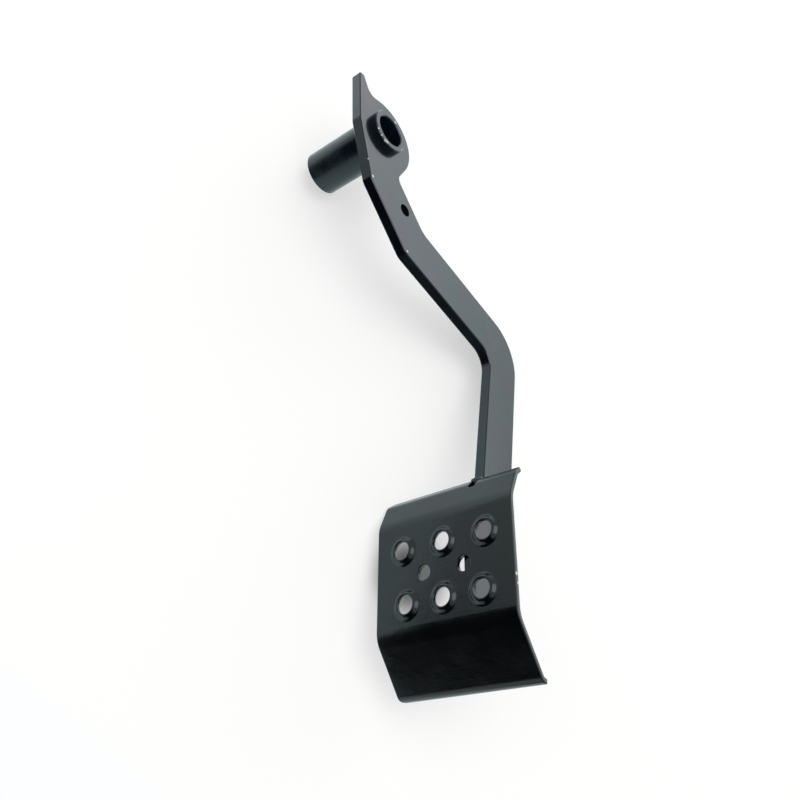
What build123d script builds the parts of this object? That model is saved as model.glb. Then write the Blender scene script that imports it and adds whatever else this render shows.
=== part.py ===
from build123d import *
import math
import os

# Hanging brake pedal, welded from a flat plate arm, a plain pivot tube and a folded foot pad.
# Millimetres. +X points forward, away from the foot, +Y to the left and +Z up.
# The origin is the middle of the pivot bore, whose axis is Y.
# Side profiles are drawn as (forward, down the pedal), pad patterns as (left, down the pedal).

# How far the foot pad's face leans back from upright, in degrees
pad_lean = 30.0

# Pivot tube
tube_outer_radius = 12.7
tube_bore_radius = 9.25
tube_length = 53.6
tube_stub = 4.0
tube_edge = 0.5

# Arm plate
plate_thickness = 6.35
plate_edge = 0.5
tube_hole_clearance = 0.1
upper_arm_width = 28.2
lower_arm_width = 26.7
horn_front = (-23.3, -31.0)
horn_back = (-19.5, -31.0)
horn_root = (-13.6, -20.4)
horn_front_round = 1.4
horn_back_round = 1.6
horn_root_round = 5.5
boss_centre = (-1.0, 0.7)
boss_radius = 23.4
boss_notch_depth = 24.8
boss_notch_round = 5.0
front_bend = (-21.3, 4.2)
front_bend_round = 12.0
middle_bend = (-10.5, 41.9)
middle_bend_round = 6.0
lower_bend = (19.8, 74.0)
lower_bend_round = 8.0
lower_bend_back_round = 15.0
elbow = (100.6, 98.2)
elbow_round = 11.8
elbow_back_round = 27.6
neck_gap = 1.45
seat_below_bend = 5.4
arm_end_rise = 4.5
arm_end_round = 6.0
link_hole = (18.3, 44.2)
link_hole_radius = 3.75

# Foot pad sheet
sheet_thickness = 2.6
sheet_edge = 0.4
pad_width = 84.1
pad_overhang = 24.2
pad_left_round = 5.0
pad_right_round = 1.0
face_depth = 71.8
face_top = 202.2
face_length = 59.9
face_bend_round = 14.0
top_lip_angle = 25.0
top_lip_length = 15.9
top_curl_angle = 50.0
top_curl_round = 6.0
top_curl_length = 5.8
bottom_lip_angle = 35.0
bottom_lip_length = 32.9
bottom_curl_angle = 92.0
bottom_curl_round = 5.2
bottom_curl_length = 3.9

# Notch in the pad's top edge, in front of the arm
notch_width = 4.7
notch_depth = 6.1
notch_round = 1.4

# Holes in the pad's face: two rows with raised rims and a plain row between them
grip_centre = 17.0
grip_top_margin = 15.9
grip_bottom_margin = 15.3
grip_top_pitch = 25.5
grip_bottom_pitch = 23.0
grip_bore_radius = 4.8
rim_height = 2.0
rim_top_radius = 5.6
rim_foot_radius = 8.3
rim_steps = 4
rim_back_radius = 6.6
rim_lip = 0.8
rim_bevel = 0.3
drain_rise = 0.45
drain_pitch = 24.5
drain_hole_radius = 4.0

# Weld beads
pivot_bead = 4.0
pivot_bead_crown = 0.5
pad_bead = 4.4
pad_bead_crown = 0.4
left_bead_length = 17.0
left_bead_rise = 2.5
right_bead_length = 13.0
right_bead_rise = 18.5
lip_bead_radius = 3.4
lip_bead_rise = 0.6
lip_bead_overrun = 2.5
bead_end_bevel = 1.2

os.makedirs("parts", exist_ok=True)

lean = math.radians(pad_lean)
forward = Vector(math.cos(lean), 0, -math.sin(lean))
down = Vector(-math.sin(lean), 0, -math.cos(lean))
tube_right = -tube_length / 2
plate_right = tube_right + tube_stub
plate_left = plate_right + plate_thickness
pad_right = plate_right - pad_overhang
pad_back = face_depth + sheet_thickness


def side_plane(left):
    """Plane across the pedal at a distance to the left: x runs forward, y down the pedal."""
    return Plane(origin=(0, left, 0), x_dir=forward, z_dir=(0, 1, 0))


def bent_point(start, angle, length):
    """Point reached from start along a line turned forward from straight down by angle."""
    turn = math.radians(angle)
    return (start[0] + length * math.sin(turn), start[1] + length * math.cos(turn))


def back_line(start, end, width):
    """Line parallel to start-end and width behind it, as a point and a direction."""
    run = (Vector(*end) - Vector(*start)).normalized()
    return Vector(*start) + Vector(run.Y, -run.X) * width, run


def crossing(first, second):
    """Point where two lines, each a point and a direction, cross."""
    gap = second[0] - first[0]
    spread = first[1].cross(second[1]).Z
    point = first[0] + first[1] * (gap.cross(second[1]).Z / spread)
    return (point.X, point.Y)


def point_at_depth(line, depth):
    """Point of a line, a point and a direction, at a depth down the pedal."""
    point = line[0] + line[1] * ((depth - line[0].Y) / line[1].Y)
    return (point.X, point.Y)


def on_boss(angle):
    """Point on the boss circle at an angle in radians from straight forward."""
    return (
        boss_centre[0] + boss_radius * math.cos(angle),
        boss_centre[1] + boss_radius * math.sin(angle),
    )


def boss_touch(point, side):
    """Angle where a line from the point touches the boss circle, on side +1 or -1."""
    reach = Vector(*point) - Vector(*boss_centre)
    return math.atan2(reach.Y, reach.X) + side * math.acos(boss_radius / reach.length)


def across_sheet(faces):
    """Straight edges of the faces that go through the pad's sheet, from front to back."""
    lines = faces.edges().filter_by(GeomType.LINE)
    return lines.filter_by(lambda e: abs(e.length - sheet_thickness) < 0.001)


# Front of the pad's sheet, from its top edge to its bottom edge
top_bend = (face_depth, face_top)
top_curl = bent_point(top_bend, 180 - top_lip_angle, top_lip_length)
top_edge = bent_point(top_curl, 180 - top_curl_angle, top_curl_length)
bottom_bend = (face_depth, face_top + face_length)
bottom_curl = bent_point(bottom_bend, bottom_lip_angle, bottom_lip_length)
bottom_edge = bent_point(bottom_curl, bottom_curl_angle, bottom_curl_length)
lip_back = bent_point(top_edge, 90 - top_curl_angle, sheet_thickness)
edge_middle = bent_point(top_edge, 90 - top_curl_angle, sheet_thickness / 2)

# Arm plate: its back edge runs parallel to its front edge, section by section. Behind the pad's
# top lip the front edge turns in and then lies against the pad's back.
neck = (lip_back[0] + neck_gap, top_edge[1])
seat_top = (pad_back, face_top + seat_below_bend)
arm_end = (pad_back, bottom_bend[1] - arm_end_rise)
waist_line = back_line(middle_bend, lower_bend, upper_arm_width)
reach_line = back_line(lower_bend, elbow, upper_arm_width)
drop_line = back_line(elbow, neck, lower_arm_width)
boss_notch = point_at_depth(waist_line, boss_notch_depth)
end_line = (Vector(*arm_end), Vector(drop_line[1].Y, -drop_line[1].X))
top_touch = boss_touch(horn_root, 1)
back_touch = boss_touch(boss_notch, -1)
boss_top = on_boss(top_touch)
boss_back = on_boss(back_touch)
boss_crown = on_boss((top_touch + back_touch) / 2)

with BuildPart() as arm:
    with BuildSketch(side_plane(plate_right)):
        with BuildLine():
            FilletPolyline(
                boss_top,
                horn_root,
                horn_back,
                horn_front,
                front_bend,
                middle_bend,
                lower_bend,
                elbow,
                neck,
                seat_top,
                arm_end,
                crossing(drop_line, end_line),
                crossing(reach_line, drop_line),
                crossing(waist_line, reach_line),
                boss_notch,
                boss_back,
                radius=[
                    horn_root_round,
                    horn_back_round,
                    horn_front_round,
                    front_bend_round,
                    middle_bend_round,
                    lower_bend_round,
                    elbow_round,
                    0,
                    0,
                    0,
                    arm_end_round,
                    elbow_back_round,
                    lower_bend_back_round,
                    boss_notch_round,
                ],
            )
            ThreePointArc(boss_back, boss_crown, boss_top)
        make_face()
    extrude(amount=plate_thickness)
    broad_faces = arm.faces().filter_by(Axis.Y)
    chamfer(broad_faces.edges(), plate_edge)
    with BuildSketch(side_plane(plate_right)):
        Circle(tube_outer_radius + tube_hole_clearance)
        with Locations(link_hole):
            Circle(link_hole_radius)
    extrude(amount=plate_thickness, mode=Mode.SUBTRACT)
arm.part.label = "arm"
export_step(arm.part, "parts/arm.step")

# Pivot tube: goes through the arm and stands out further on the left
with BuildPart() as pivot_tube:
    with BuildSketch(side_plane(tube_right)):
        Circle(tube_outer_radius)
        Circle(tube_bore_radius, mode=Mode.SUBTRACT)
    extrude(amount=tube_length)
    rims = pivot_tube.edges().filter_by(GeomType.CIRCLE)
    chamfer(rims, tube_edge)
pivot_tube.part.label = "pivot_tube"
export_step(pivot_tube.part, "parts/pivot_tube.step")

# Foot pad: one sheet, folded forward along its top and bottom, with curled free edges
face_plane = Plane(origin=forward * face_depth, x_dir=(0, 1, 0), z_dir=-forward)
pattern_middle = plate_right + grip_centre
grip_top_row = top_bend[1] + grip_top_margin
grip_bottom_row = bottom_bend[1] - grip_bottom_margin
drain_row = (grip_top_row + grip_bottom_row) / 2 - drain_rise
grip_points = [(pattern_middle + i * grip_top_pitch, grip_top_row) for i in (-1, 0, 1)]
grip_points += [(pattern_middle + i * grip_bottom_pitch, grip_bottom_row) for i in (-1, 0, 1)]
drain_points = [(pattern_middle + i * drain_pitch / 2, drain_row) for i in (-1, 1)]
rim_run = rim_foot_radius - rim_top_radius
rim_turns = [math.pi * i / rim_steps for i in range(rim_steps + 1)]
rim_slope = [
    (rim_foot_radius - rim_run * turn / math.pi, rim_height * (1 - math.cos(turn)) / 2)
    for turn in rim_turns
]

with BuildPart() as foot_pad:
    with BuildSketch(side_plane(pad_right)):
        with BuildLine():
            FilletPolyline(
                top_edge,
                top_curl,
                top_bend,
                bottom_bend,
                bottom_curl,
                bottom_edge,
                radius=[top_curl_round, face_bend_round, face_bend_round, bottom_curl_round],
            )
            offset(amount=sheet_thickness, side=Side.RIGHT)
        make_face()
    extrude(amount=pad_width)
    fillet(across_sheet(foot_pad.faces().sort_by(Axis.Y)[-1]), pad_left_round)
    fillet(across_sheet(foot_pad.faces().sort_by(Axis.Y)[0]), pad_right_round)
    side_faces = foot_pad.faces().filter_by(Axis.Y)
    folds = side_faces.edges() - across_sheet(side_faces)
    chamfer(folds, sheet_edge)
    with BuildSketch(face_plane):
        with Locations((plate_right + notch_width / 2, top_edge[1])):
            RectangleRounded(notch_width, 2 * notch_depth, notch_round)
    extrude(amount=-(top_edge[0] + sheet_thickness - face_depth), mode=Mode.SUBTRACT)
    with BuildSketch(face_plane):
        with Locations(*grip_points):
            Circle(rim_foot_radius)
        with Locations(*drain_points):
            Circle(drain_hole_radius)
    extrude(amount=-sheet_thickness, mode=Mode.SUBTRACT)
    for point in grip_points:
        centre = face_plane.from_local_coords(point)
        with BuildSketch(Plane(origin=centre, x_dir=(0, 1, 0), z_dir=-down)):
            with BuildLine():
                Polyline(
                    (rim_foot_radius, -sheet_thickness),
                    *rim_slope,
                    (grip_bore_radius + rim_bevel, rim_height),
                    (grip_bore_radius, rim_height - rim_bevel),
                    (grip_bore_radius, rim_height - sheet_thickness + rim_lip),
                    (rim_back_radius, -sheet_thickness),
                    close=True,
                )
            make_face()
        revolve(axis=Axis(centre, forward))
foot_pad.part.label = "foot_pad"
export_step(foot_pad.part, "parts/foot_pad.step")

# Weld bead round the tube, on the arm's left face
with BuildPart() as pivot_weld:
    with BuildSketch(Plane.XY):
        crown_reach = pivot_bead / 2 + pivot_bead_crown
        with BuildLine():
            Polyline(
                (tube_outer_radius, plate_left),
                (tube_outer_radius + pivot_bead, plate_left),
                (tube_outer_radius + crown_reach, plate_left + crown_reach),
                (tube_outer_radius, plate_left + pivot_bead),
                close=True,
            )
        make_face()
    revolve(axis=Axis.Y)
pivot_weld.part.label = "pivot_weld"
export_step(pivot_weld.part, "parts/pivot_weld.step")

# Weld beads in the corners between the pad's back and the arm's two broad faces
for name, side, start, length, rise in (
    ("pad_weld_left", 1, plate_left, left_bead_length, left_bead_rise),
    ("pad_weld_right", -1, plate_right, right_bead_length, right_bead_rise),
):
    bead_bottom = arm_end[1] - rise
    with BuildPart() as pad_weld:
        with BuildSketch(Plane(origin=down * bead_bottom, x_dir=forward, z_dir=-down)):
            on_arm = (pad_back + pad_bead, start)
            on_pad = (pad_back, start + side * pad_bead)
            with BuildLine():
                Polyline(on_pad, (pad_back, start), on_arm)
                SagittaArc(on_arm, on_pad, side * pad_bead_crown)
            make_face()
        extrude(amount=length)
        add(arm.part, mode=Mode.SUBTRACT)
        add(foot_pad.part, mode=Mode.SUBTRACT)
    pad_weld.part.label = name
    export_step(pad_weld.part, f"parts/{name}.step")

# Weld bead between the pad's top edge and the arm's front edge, seen through the notch
lip_bead_forward = (edge_middle[0] + neck[0]) / 2

with BuildPart() as lip_weld:
    with BuildSketch(side_plane(plate_right - lip_bead_overrun)):
        with Locations((lip_bead_forward, edge_middle[1] - lip_bead_rise)):
            Circle(lip_bead_radius)
    extrude(amount=plate_thickness + lip_bead_overrun)
    chamfer(lip_weld.faces().sort_by(Axis.Y)[0].edges(), bead_end_bevel)
    add(arm.part, mode=Mode.SUBTRACT)
    add(foot_pad.part, mode=Mode.SUBTRACT)
lip_weld.part.label = "lip_weld"
export_step(lip_weld.part, "parts/lip_weld.step")
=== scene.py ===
import math
import bpy
from mathutils import Matrix, Vector


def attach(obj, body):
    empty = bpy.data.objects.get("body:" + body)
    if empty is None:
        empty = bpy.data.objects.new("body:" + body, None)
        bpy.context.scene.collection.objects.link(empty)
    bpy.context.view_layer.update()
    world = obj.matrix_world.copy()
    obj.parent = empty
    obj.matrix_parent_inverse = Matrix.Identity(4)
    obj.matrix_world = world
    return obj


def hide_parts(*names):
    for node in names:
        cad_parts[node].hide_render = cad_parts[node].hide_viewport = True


# Welded black brake pedal lying on a pale table. Lengths are metres unless a name ends in Mm.

mm = 0.001
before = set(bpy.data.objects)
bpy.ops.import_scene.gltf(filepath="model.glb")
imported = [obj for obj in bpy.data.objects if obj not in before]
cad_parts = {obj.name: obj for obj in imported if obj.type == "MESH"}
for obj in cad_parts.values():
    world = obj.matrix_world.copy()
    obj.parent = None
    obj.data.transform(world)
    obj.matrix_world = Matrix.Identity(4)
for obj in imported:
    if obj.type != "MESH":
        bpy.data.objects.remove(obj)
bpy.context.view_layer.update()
print("frame loaded:", ", ".join(sorted(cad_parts)))


def clearSelection():
    bpy.ops.object.select_all(action="DESELECT")


def toLinear(hexColor):
    # sRGB hex to the linear values that the shader nodes take
    values = []
    for i in (1, 3, 5):
        c = int(hexColor[i:i + 2], 16) / 255
        values.append(c / 12.92 if c <= 0.04045 else ((c + 0.055) / 1.055) ** 2.4)
    return (values[0], values[1], values[2], 1.0)


def addNode(tree, kind, settings=None, links=None):
    # one node with its attributes or input values, and what feeds its inputs
    node = tree.nodes.new(kind)
    for name, value in (settings or {}).items():
        if isinstance(name, str) and hasattr(node, name):
            setattr(node, name, value)
        else:
            node.inputs[name].default_value = value
    for name, source in (links or {}).items():
        tree.links.new(source, node.inputs[name])
    return node


def newMaterial(name):
    material = bpy.data.materials.new(name)
    material.use_nodes = True
    material.node_tree.nodes.clear()
    return material, material.node_tree


# The finish of the whole pedal. Entries with From and To values turn a pattern or an angle into an amount.
paintLook = {
    "patterns": {                       # size in millimetres, detail and grain of each noise
        "cast": (24, 1.0, 0.5),         # where the sheen drifts from one cast to the other
        "haze": (18, 5.0, 0.6),         # clouds of clearer and duller coat
        "patches": (7, 6.0, 0.7),       # where dirt dried on and edges wore
        "wave": (5.0, 2.0, 0.5),        # long ripples where the coat ran and set
        "peel": (1.6, 2.0, 0.45),       # orange peel, crest to crest
        "grit": (1.1, 3.0, 0.5),        # dust under the paint, coarser than it is so that it shows
        "ragged": (0.9, 4.0, 0.5),      # outline of the chips
    },
    "waveHeightMm": 0.05,
    "peelHeightMm": 0.012,
    "ior": 1.56,                        # hard baked resin
    "hazeRange": {"From Min": 0.3, "From Max": 0.7},
    "roughnessSpread": 0.08,            # from the clearest haze to the dullest
    "castRange": {"From Min": 0.4, "From Max": 0.6},
    "dustColor": "#2c2f32",             # grey bloom where dirt has dried on
    "dustRange": {"From Min": 0.47, "From Max": 0.62},
    "dustRoughness": 0.25,              # how much duller thick dust is than the coat
    "specks": {"From Min": 0.735, "From Max": 0.76, "To Max": 0.3},
    "steelColor": "#a9a6a0",            # bare steel where the coat is gone
    "steelMetallic": 0.8,               # a little stained
    "wearWidthMm": 0.45,                # how far wear reaches in from an edge
    "wearSamples": 6,
    "wearTurn": {"From Min": 0.99, "From Max": 0.86},       # cosines of the turn at an edge
    "wearPatches": {"From Min": 0.64, "From Max": 0.70},
    "chipReach": (0.35, 1.3),           # radius of a chip by its size: the least, and what the outline adds
    "chipDepthMm": 0.05,
    "softSamples": 8,
    "markNoise": (0.7, 3.0, 0.6),       # marks of the tools, coarser than they are so that they show
    "markStretch": (1.0, 0.06, 1.0),    # they run from the pedal's left to its right
    "markFaces": {"From Min": 0.3, "From Max": 0.1},        # not on faces that look left or right
    "markHeightMm": 0.03,
    "paintedShade": {"From Min": 0.86, "From Max": 0.97, "To Min": 0.5, "To Max": 0.06},    # sheen by how far a face turns to the side with painted shade
    "paintedShadeWander": 0.35,                 # how far the patch noise moves the painted shade's edge
}

# places where the paint is knocked off, and the size of each chip, in millimetres
chipPlaces = [
    ((-26.8, -22.8, -19.4), 0.55),
    ((-28.0, -22.8, -29.8), 0.8),
    ((-18.1, -22.8, -72.7), 0.7),
    ((-9.5, -26.8, -7.6), 0.9),
    ((-8.0, -26.8, -8.5), 0.8),
    ((8.5, -26.8, 6.9), 0.9),
    ((-12.1, -26.8, -0.7), 0.45),
    ((-11.3, -26.8, -4.6), 0.4),
    ((5.4, -26.8, -10.8), 0.45),
    ((-58.2, -47.0, -246.5), 0.9),
    ((-59.8, -47.0, -250.6), 0.7),
    ((-68.5, -47.0, -279.7), 0.7),
    ((-69.4, -47.0, -292.9), 1.0),
    ((-29.6, -47.0, -199.0), 0.8),
]


def chipMask(tree, point, ragged):
    # 1 inside a chip, 0 outside: the distance to each place against a ragged radius
    least, extra = paintLook["chipReach"]
    mask = None
    for place, sizeMm in chipPlaces:
        center = tuple(v * mm for v in place)
        gap = addNode(tree, "ShaderNodeVectorMath", {"operation": "DISTANCE", 1: center}, {0: point})
        radius = addNode(
            tree, "ShaderNodeMath",
            {"operation": "MULTIPLY_ADD", 1: extra * sizeMm * mm, 2: least * sizeMm * mm}, {0: ragged},
        )
        chip = addNode(
            tree, "ShaderNodeMath", {"operation": "LESS_THAN"}, {0: gap.outputs["Value"], 1: radius.outputs[0]},
        )
        if mask is not None:
            chip = addNode(tree, "ShaderNodeMath", {"operation": "MAXIMUM"}, {0: mask, 1: chip.outputs[0]})
        mask = chip.outputs[0]
    return mask


def blackPaint(name, baseColor, castColors, roughness=0.17, dirt=0.12, marked=False, softMm=0.0, paintedShadeSide=None):
    # baked black dip coat on steel: satin sheen, faint orange peel, dried dust and bright chips at the edges, and
    # painted shade on one side when one is given
    look = paintLook
    material, tree = newMaterial(name)
    point = addNode(tree, "ShaderNodeTexCoord").outputs["Object"]
    faceNormal = addNode(tree, "ShaderNodeNewGeometry").outputs["True Normal"]
    noise = {}
    for patternName, (sizeMm, detail, grain) in look["patterns"].items():
        pattern = addNode(
            tree, "ShaderNodeTexNoise", {"Scale": 1 / (sizeMm * mm), "Detail": detail, "Roughness": grain},
            {"Vector": point},
        )
        noise[patternName] = pattern.outputs["Fac"]

    # wear follows the sharp edges: there a rounded normal leaves the flat one
    rounded = addNode(tree, "ShaderNodeBevel", {"samples": look["wearSamples"], "Radius": look["wearWidthMm"] * mm})
    turn = addNode(
        tree, "ShaderNodeVectorMath", {"operation": "DOT_PRODUCT"}, {0: rounded.outputs["Normal"], 1: faceNormal},
    )
    edge = addNode(tree, "ShaderNodeMapRange", look["wearTurn"], {"Value": turn.outputs["Value"]})
    patch = addNode(tree, "ShaderNodeMapRange", look["wearPatches"], {"Value": noise["patches"]})
    worn = addNode(
        tree, "ShaderNodeMath", {"operation": "MULTIPLY"}, {0: edge.outputs["Result"], 1: patch.outputs["Result"]},
    )
    chips = chipMask(tree, point, noise["ragged"])
    bare = addNode(
        tree, "ShaderNodeMath", {"operation": "MAXIMUM", "use_clamp": True}, {0: worn.outputs[0], 1: chips},
    )

    # dust: a thin grey bloom in clouds, with a few lighter specks
    halfHaze = addNode(tree, "ShaderNodeMath", {"operation": "MULTIPLY", 1: 0.5}, {0: noise["haze"]})
    clouds = addNode(
        tree, "ShaderNodeMath", {"operation": "MULTIPLY_ADD", 1: 0.5},
        {0: noise["patches"], 2: halfHaze.outputs[0]},
    )
    bloom = addNode(tree, "ShaderNodeMapRange", {**look["dustRange"], "To Max": dirt}, {"Value": clouds.outputs[0]})
    speck = addNode(tree, "ShaderNodeMapRange", look["specks"], {"Value": noise["grit"]})
    dust = addNode(
        tree, "ShaderNodeMath", {"operation": "MAXIMUM"}, {0: bloom.outputs["Result"], 1: speck.outputs["Result"]},
    )
    dusty = addNode(
        tree, "ShaderNodeMix", {"data_type": "RGBA", 6: toLinear(baseColor), 7: toLinear(look["dustColor"])},
        {"Factor": dust.outputs[0]},
    )
    color = addNode(
        tree, "ShaderNodeMix", {"data_type": "RGBA", 7: toLinear(look["steelColor"])},
        {"Factor": bare.outputs[0], 6: dusty.outputs[2]},
    )

    spread = look["roughnessSpread"] / 2
    satin = addNode(
        tree, "ShaderNodeMapRange", {**look["hazeRange"], "To Min": roughness - spread, "To Max": roughness + spread},
        {"Value": noise["haze"]},
    )
    rough = addNode(
        tree, "ShaderNodeMath", {"operation": "MULTIPLY_ADD", 1: look["dustRoughness"], "use_clamp": True},
        {0: dust.outputs[0], 2: satin.outputs["Result"]},
    )
    metal = addNode(tree, "ShaderNodeMath", {"operation": "MULTIPLY", 1: look["steelMetallic"]}, {0: bare.outputs[0]})

    # relief: each bump starts from the normal that the one before it gives
    relief = [(noise["wave"], "waveHeightMm"), (noise["peel"], "peelHeightMm")]
    if marked:
        # the die leaves its marks on the plate's cut edges, and the rolls leave theirs on the pad's sheet
        sizeMm, detail, grain = look["markNoise"]
        stretched = addNode(tree, "ShaderNodeMapping", {"Scale": look["markStretch"]}, {"Vector": point})
        marks = addNode(
            tree, "ShaderNodeTexNoise", {"Scale": 1 / (sizeMm * mm), "Detail": detail, "Roughness": grain},
            {"Vector": stretched.outputs[0]},
        )
        axes = addNode(tree, "ShaderNodeSeparateXYZ", {}, {0: faceNormal})
        sideways = addNode(tree, "ShaderNodeMath", {"operation": "ABSOLUTE"}, {0: axes.outputs["Y"]})
        where = addNode(tree, "ShaderNodeMapRange", look["markFaces"], {"Value": sideways.outputs[0]})
        scored = addNode(
            tree, "ShaderNodeMath", {"operation": "MULTIPLY"}, {0: where.outputs["Result"], 1: marks.outputs["Fac"]},
        )
        relief.append((scored.outputs[0], "markHeightMm"))
    coated = addNode(tree, "ShaderNodeMath", {"operation": "SUBTRACT", 0: 1.0}, {1: bare.outputs[0]})
    relief.append((coated.outputs[0], "chipDepthMm"))
    normal = {}
    if softMm:
        # thick paint and drawn metal round every edge and fold by this much
        soft = addNode(tree, "ShaderNodeBevel", {"samples": look["softSamples"], "Radius": softMm * mm})
        normal = {"Normal": soft.outputs["Normal"]}
    for height, depthName in relief:
        bump = addNode(
            tree, "ShaderNodeBump", {"Strength": 1.0, "Distance": look[depthName] * mm}, {"Height": height, **normal},
        )
        normal = {"Normal": bump.outputs[0]}

    drift = addNode(tree, "ShaderNodeMapRange", look["castRange"], {"Value": noise["cast"]})
    cast = addNode(
        tree, "ShaderNodeMix", {"data_type": "RGBA", 6: toLinear(castColors[0]), 7: toLinear(castColors[1])},
        {"Factor": drift.outputs["Result"]},
    )
    shader = addNode(
        tree, "ShaderNodeBsdfPrincipled", {"IOR": look["ior"]},
        {
            "Base Color": color.outputs[2], "Roughness": rough.outputs[0], "Metallic": metal.outputs[0],
            "Specular Tint": cast.outputs[2], **normal,
        },
    )
    if paintedShadeSide:
        # painted shade: faces that look this way lose most of their sheen, unevenly, so they show dark as if shaded
        toward = addNode(tree, "ShaderNodeVectorMath", {"operation": "DOT_PRODUCT", 1: paintedShadeSide}, {0: faceNormal})
        uneven = addNode(
            tree, "ShaderNodeMath",
            {"operation": "MULTIPLY_ADD", 1: look["paintedShadeWander"], 2: -look["paintedShadeWander"] / 2}, {0: noise["patches"]},
        )
        paintedShade = addNode(
            tree, "ShaderNodeMath", {"operation": "ADD"}, {0: toward.outputs["Value"], 1: uneven.outputs[0]},
        )
        sheen = addNode(tree, "ShaderNodeMapRange", look["paintedShade"], {"Value": paintedShade.outputs[0]})
        tree.links.new(sheen.outputs["Result"], shader.inputs["Specular IOR Level"])
    addNode(tree, "ShaderNodeOutputMaterial", {}, {"Surface": shader.outputs[0]})
    return material


# The coat is a little blue over plate and tube. Its sheen drifts from violet, or pale blue, to green.
platePaint = blackPaint(
    "blackDipCoatOnPlate", "#060b13", ("#f3eeff", "#e0f8f6"),
    marked=True, paintedShadeSide=(-0.7275, 0, -0.6861),       # painted shade on the cut edge under the reach
)
sheetPaint = blackPaint(
    "blackDipCoatOnSheet", "#05060a", ("#e8f1f8", "#e0f6f4"), dirt=0.05, marked=True, softMm=0.8,
)
tubePaint = blackPaint("blackDipCoatOnTube", "#070e1b", ("#e6f4fc", "#dff8fa"), roughness=0.24, dirt=0.25)
beadPaint = blackPaint("blackDipCoatOnWeld", "#06080b", ("#ebf2fa", "#e2f6f6"), roughness=0.24, dirt=0.4)
nodePaints = {"arm": platePaint, "foot_pad": sheetPaint, "pivot_tube": tubePaint}
for nodeName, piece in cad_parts.items():
    piece.data.materials.clear()
    piece.data.materials.append(nodePaints.get(nodeName, beadPaint))
print("paint done")


# Each bead stands for a plain one of the frame: the same place and size, with the ripples that the arc leaves.
beadShape = {
    "rippleDepth": 0.07,       # of the bead's radius
    "bluntness": 5,            # of a straight bead's ends, where 2 is a ball
    "lagMm": 0.5,              # how far a ripple bends back at its edges
    "around": 24,
    "along": 90,
}
straightBeads = {
    "padBeadLeft": {
        "node": "pad_weld_left", "startMm": (-54.62, -16.45, -243.4), "endMm": (-63.12, -16.45, -258.12),
        "offsetMm": (1.13, 1.3, -0.65), "radiusMm": 2.7, "pitchMm": 2.1,
    },
    "padBeadRight": {
        "node": "pad_weld_right", "startMm": (-48.62, -22.8, -233.01), "endMm": (-55.12, -22.8, -244.27),
        "offsetMm": (1.13, -1.3, -0.65), "radiusMm": 2.7, "pitchMm": 2.1,
    },
    "lipBead": {
        "node": "lip_weld", "startMm": (-18.4, -23.3, -202.2), "endMm": (-18.4, -16.0, -202.2),
        "offsetMm": (0, 0, 0), "radiusMm": 2.5, "pitchMm": 1.8,
    },
}
pivotBead = {
    "node": "pivot_weld", "ringMm": 13.9, "planeMm": -15.25, "radiusMm": 2.55, "ripples": 31,
    "lag": 0.75,               # how far a ripple bends back at its edges, in half waves
    "around": 186,
    "across": 16,
}


def finishBead(bead, nodeName):
    for polygon in bead.data.polygons:
        polygon.use_smooth = True
    bead.data.materials.append(beadPaint)
    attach(bead, "root")
    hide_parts(nodeName)


def buildStraightBead(name, bead):
    # a ball drawn out into a blunt run, each ripple a crescent that lags at its edges
    start, end = Vector(bead["startMm"]) * mm, Vector(bead["endMm"]) * mm
    along = (end - start).normalized()
    side = along.orthogonal().normalized()
    up = along.cross(side)
    half = (end - start).length / 2
    middle = (start + end) / 2 + Vector(bead["offsetMm"]) * mm
    clearSelection()
    bpy.ops.mesh.primitive_uv_sphere_add(
        segments=beadShape["around"], ring_count=beadShape["along"], radius=1,
    )
    ball = bpy.context.object
    ball.name = name
    for vertex in ball.data.vertices:
        x, y, t = vertex.co
        reach = max(math.hypot(x, y), 0.001)       # never zero, not at the poles either
        place = t * half + beadShape["lagMm"] * mm * y / reach
        ripple = 1 + beadShape["rippleDepth"] * math.sin(2 * math.pi * place / (bead["pitchMm"] * mm))
        blunt = math.sqrt(max(0.0, 1 - abs(t) ** beadShape["bluntness"]))
        girth = blunt * ripple * bead["radiusMm"] * mm
        vertex.co = middle + along * (t * half) + (side * x + up * y) * (girth / reach)
    finishBead(ball, bead["node"])


def buildPivotBead():
    ringRadius, radius = pivotBead["ringMm"] * mm, pivotBead["radiusMm"] * mm
    clearSelection()
    bpy.ops.mesh.primitive_torus_add(
        major_segments=pivotBead["around"], minor_segments=pivotBead["across"],
        major_radius=ringRadius, minor_radius=radius, rotation=(math.pi / 2, 0, 0),
    )
    ring = bpy.context.object
    ring.name = "pivotBead"
    bpy.ops.object.transform_apply(location=True, rotation=True, scale=True)
    shift = Vector((0, pivotBead["planeMm"] * mm, 0))
    for vertex in ring.data.vertices:
        angle = math.atan2(vertex.co.z, vertex.co.x)
        core = Vector((math.cos(angle), 0, math.sin(angle))) * ringRadius
        out = vertex.co - core
        lag = pivotBead["lag"] * math.pi * out.y / radius
        ripple = 1 + beadShape["rippleDepth"] * math.sin(pivotBead["ripples"] * angle + lag)
        vertex.co = core + out * ripple + shift
    finishBead(ring, pivotBead["node"])


for beadName, bead in straightBeads.items():
    buildStraightBead(beadName, bead)
buildPivotBead()
print("weld beads done")


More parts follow.
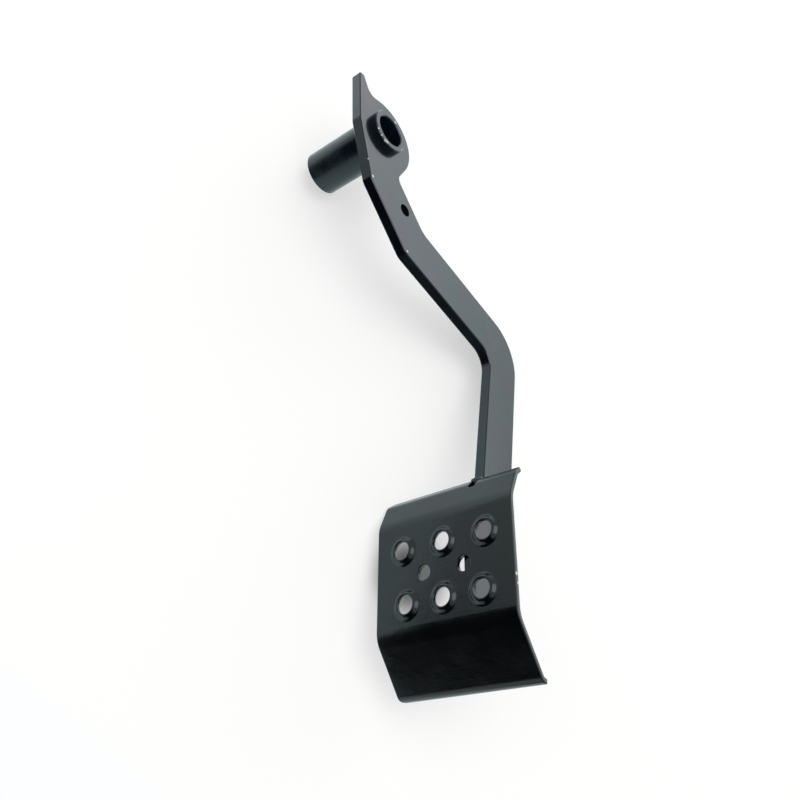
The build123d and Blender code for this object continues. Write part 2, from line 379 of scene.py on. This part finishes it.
table = {
    "normal": (-0.5482, -0.8346, 0.0535),  # out of the table, towards the pedal
    "distanceMm": 29.15,                   # from the pivot's middle down to the table
    "middleMm": (1.8, 24.4, -144.3),
    "across": (0.7747, -0.5309, -0.3437),  # to the right in the picture
    "cornersMm": {(-1, -1): (-245, -104), (1, -1): (600, -780), (1, 1): (600, 600), (-1, 1): (-245, 600)},
    "color": "#bcbcba",
    "lift": 0.53,                          # extra white that only the camera sees
    "paintedShadowMm": (-25, 36, -241),            # painted shadow: none of the lift round this place by the pad's left edge
    "paintedShadowReachMm": (10, 28),              # where it is still gone, and where it is all there
    "glare": 0.58,                         # daylight that the paint sees on the table
    "farGlare": 1.15,                      # more of it towards the window
    "farGlareMm": (-20, 320),              # where that begins and is full
    "glareColor": "#e6fbff",
}


def buildTable():
    # The pedal rests on three points, so the table is tilted in the pedal's own frame.
    # From behind it lets the view through, so that every side of the pedal can be seen.
    up = Vector(table["normal"]).normalized()
    across = Vector(table["across"])
    across = (across - across.dot(up) * up).normalized()
    toFar = up.cross(across)
    middle = Vector(table["middleMm"]) * mm
    middle = middle - (middle.dot(up) + table["distanceMm"] * mm) * up
    clearSelection()
    bpy.ops.mesh.primitive_plane_add(size=2)       # its corners, at -1 and 1, are the keys of cornersMm
    plane = bpy.context.object
    plane.name = "table"
    for vertex in plane.data.vertices:
        x, y = table["cornersMm"][(round(vertex.co.x), round(vertex.co.y))]
        vertex.co = middle + (across * x + toFar * y) * mm

    # wiped pale laminate: even and matt, bright to the eye, and it holds a soft shadow
    material, tree = newMaterial("paleLaminate")
    rays = addNode(tree, "ShaderNodeLightPath")
    geometry = addNode(tree, "ShaderNodeNewGeometry")
    point = addNode(tree, "ShaderNodeTexCoord").outputs["Object"]
    diffuse = addNode(tree, "ShaderNodeBsdfDiffuse", {"Color": toLinear(table["color"])})
    # painted shadow on the table: the camera's extra white fades out round a place by the pad's left edge
    paintedShadowPlace = tuple(v * mm for v in table["paintedShadowMm"])
    gap = addNode(tree, "ShaderNodeVectorMath", {"operation": "DISTANCE", 1: paintedShadowPlace}, {0: point})
    inner, outer = (v * mm for v in table["paintedShadowReachMm"])
    liftOutsidePaintedShadow = addNode(
        tree, "ShaderNodeMapRange",
        {"interpolation_type": "SMOOTHSTEP", "From Min": inner, "From Max": outer, "To Max": table["lift"]},
        {"Value": gap.outputs["Value"]},
    )
    lift = addNode(
        tree, "ShaderNodeMath", {"operation": "MULTIPLY"},
        {0: rays.outputs["Is Camera Ray"], 1: liftOutsidePaintedShadow.outputs["Result"]},
    )
    white = addNode(tree, "ShaderNodeEmission", {}, {"Strength": lift.outputs[0]})

    farther = addNode(tree, "ShaderNodeVectorMath", {"operation": "DOT_PRODUCT", 1: tuple(toFar)}, {0: point})
    begin, full = (v * mm + middle.dot(toFar) for v in table["farGlareMm"])
    far = addNode(
        tree, "ShaderNodeMapRange",
        {"From Min": begin, "From Max": full, "To Min": table["glare"], "To Max": table["farGlare"]},
        {"Value": farther.outputs["Value"]},
    )
    seen = addNode(
        tree, "ShaderNodeMath", {"operation": "MULTIPLY"},
        {0: far.outputs["Result"], 1: rays.outputs["Is Glossy Ray"]},
    )
    daylight = addNode(
        tree, "ShaderNodeEmission", {"Color": toLinear(table["glareColor"])}, {"Strength": seen.outputs[0]},
    )

    lit = addNode(tree, "ShaderNodeAddShader", {}, {0: diffuse.outputs[0], 1: white.outputs[0]})
    lit = addNode(tree, "ShaderNodeAddShader", {}, {0: lit.outputs[0], 1: daylight.outputs[0]})
    clear = addNode(tree, "ShaderNodeBsdfTransparent")
    sides = addNode(
        tree, "ShaderNodeMixShader", {},
        {"Fac": geometry.outputs["Backfacing"], 1: lit.outputs[0], 2: clear.outputs[0]},
    )
    addNode(tree, "ShaderNodeOutputMaterial", {}, {"Surface": sides.outputs[0]})
    plane.data.materials.append(material)


room = {
    "color": "#fdfeff",
    "walls": 0.75,             # strength of the white walls and ceiling
    "backdrop": 1.0,           # what the camera sees past the table
    "sides": [                 # each covers the ones before it; the edge is where it begins and is full, as cosines
        {"level": 2.0, "side": (0.8, -0.52, 0.35), "edge": (0.62, 0.92)},             # window behind the horn
        {"level": 0.02, "side": (-0.737, 0.564, -0.372), "edge": (0.44, 0.57)},       # unlit doorway past the foot
        {"level": 0.75, "side": (-0.45, 0.6, -0.66), "edge": (0.915, 0.975)},         # pale floor of the room
    ],
}


def buildRoom():
    world = bpy.data.worlds.new("whiteRoom")
    bpy.context.scene.world = world
    world.use_nodes = True
    tree = world.node_tree
    tree.nodes.clear()
    direction = addNode(tree, "ShaderNodeTexCoord").outputs["Generated"]
    level = {}
    for part in room["sides"]:
        side = tuple(Vector(part["side"]).normalized())
        toward = addNode(tree, "ShaderNodeVectorMath", {"operation": "DOT_PRODUCT", 1: side}, {0: direction})
        mask = addNode(
            tree, "ShaderNodeMapRange",
            {"interpolation_type": "SMOOTHSTEP", "From Min": part["edge"][0], "From Max": part["edge"][1]},
            {"Value": toward.outputs["Value"]},
        )
        mix = addNode(
            tree, "ShaderNodeMix", {2: room["walls"], 3: part["level"]}, {"Factor": mask.outputs["Result"], **level},
        )
        level = {2: mix.outputs[0]}
    rays = addNode(tree, "ShaderNodeLightPath")
    strength = addNode(
        tree, "ShaderNodeMix", {3: room["backdrop"]}, {"Factor": rays.outputs["Is Camera Ray"], **level},
    )
    background = addNode(
        tree, "ShaderNodeBackground", {"Color": toLinear(room["color"])}, {"Strength": strength.outputs[0]},
    )
    addNode(tree, "ShaderNodeOutputWorld", {}, {"Surface": background.outputs[0]})


lampPanel = {
    "direction": (-0.42, -0.95, 0.22),     # from the pedal to the lamp: over it, a little to the right and far side
    "distance": 1.2,
    "size": 1.0,
    "power": 5.0,                          # watts
}


def buildLampPanel(target):
    clearSelection()
    toward = Vector(lampPanel["direction"]).normalized()
    bpy.ops.object.light_add(type="AREA", location=target + toward * lampPanel["distance"])
    lamp = bpy.context.object
    lamp.name = "ceilingPanel"
    lamp.rotation_euler = toward.to_track_quat("Z", "Y").to_euler()
    lamp.data.shape = "DISK"
    lamp.data.size = lampPanel["size"]
    lamp.data.energy = lampPanel["power"]


shot = {
    "fromMm": (-397.35, -237.4, -189.94),
    "toMm": (-39.44, -2.61, -149.03),
    "roll": 17.9,                          # degrees, to the right
    "lensMm": 36.9,
    "sensorMm": 36.0,
    "nearest": 0.01,
}


def buildCamera():
    clearSelection()
    start = Vector(shot["fromMm"]) * mm
    aim = Vector(shot["toMm"]) * mm - start
    bpy.ops.object.camera_add(location=start)
    camera = bpy.context.object
    camera.name = "shotCamera"
    level = aim.to_track_quat("-Z", "Y").to_matrix()
    camera.rotation_euler = (Matrix.Rotation(math.radians(shot["roll"]), 3, aim) @ level).to_euler()
    camera.data.lens = shot["lensMm"]
    camera.data.sensor_width = shot["sensorMm"]
    camera.data.clip_start = shot["nearest"]
    bpy.context.scene.camera = camera


buildTable()
buildRoom()
buildLampPanel(Vector(shot["toMm"]) * mm)
buildCamera()
bpy.context.scene.view_settings.view_transform = "Standard"
print("table, light and camera done")
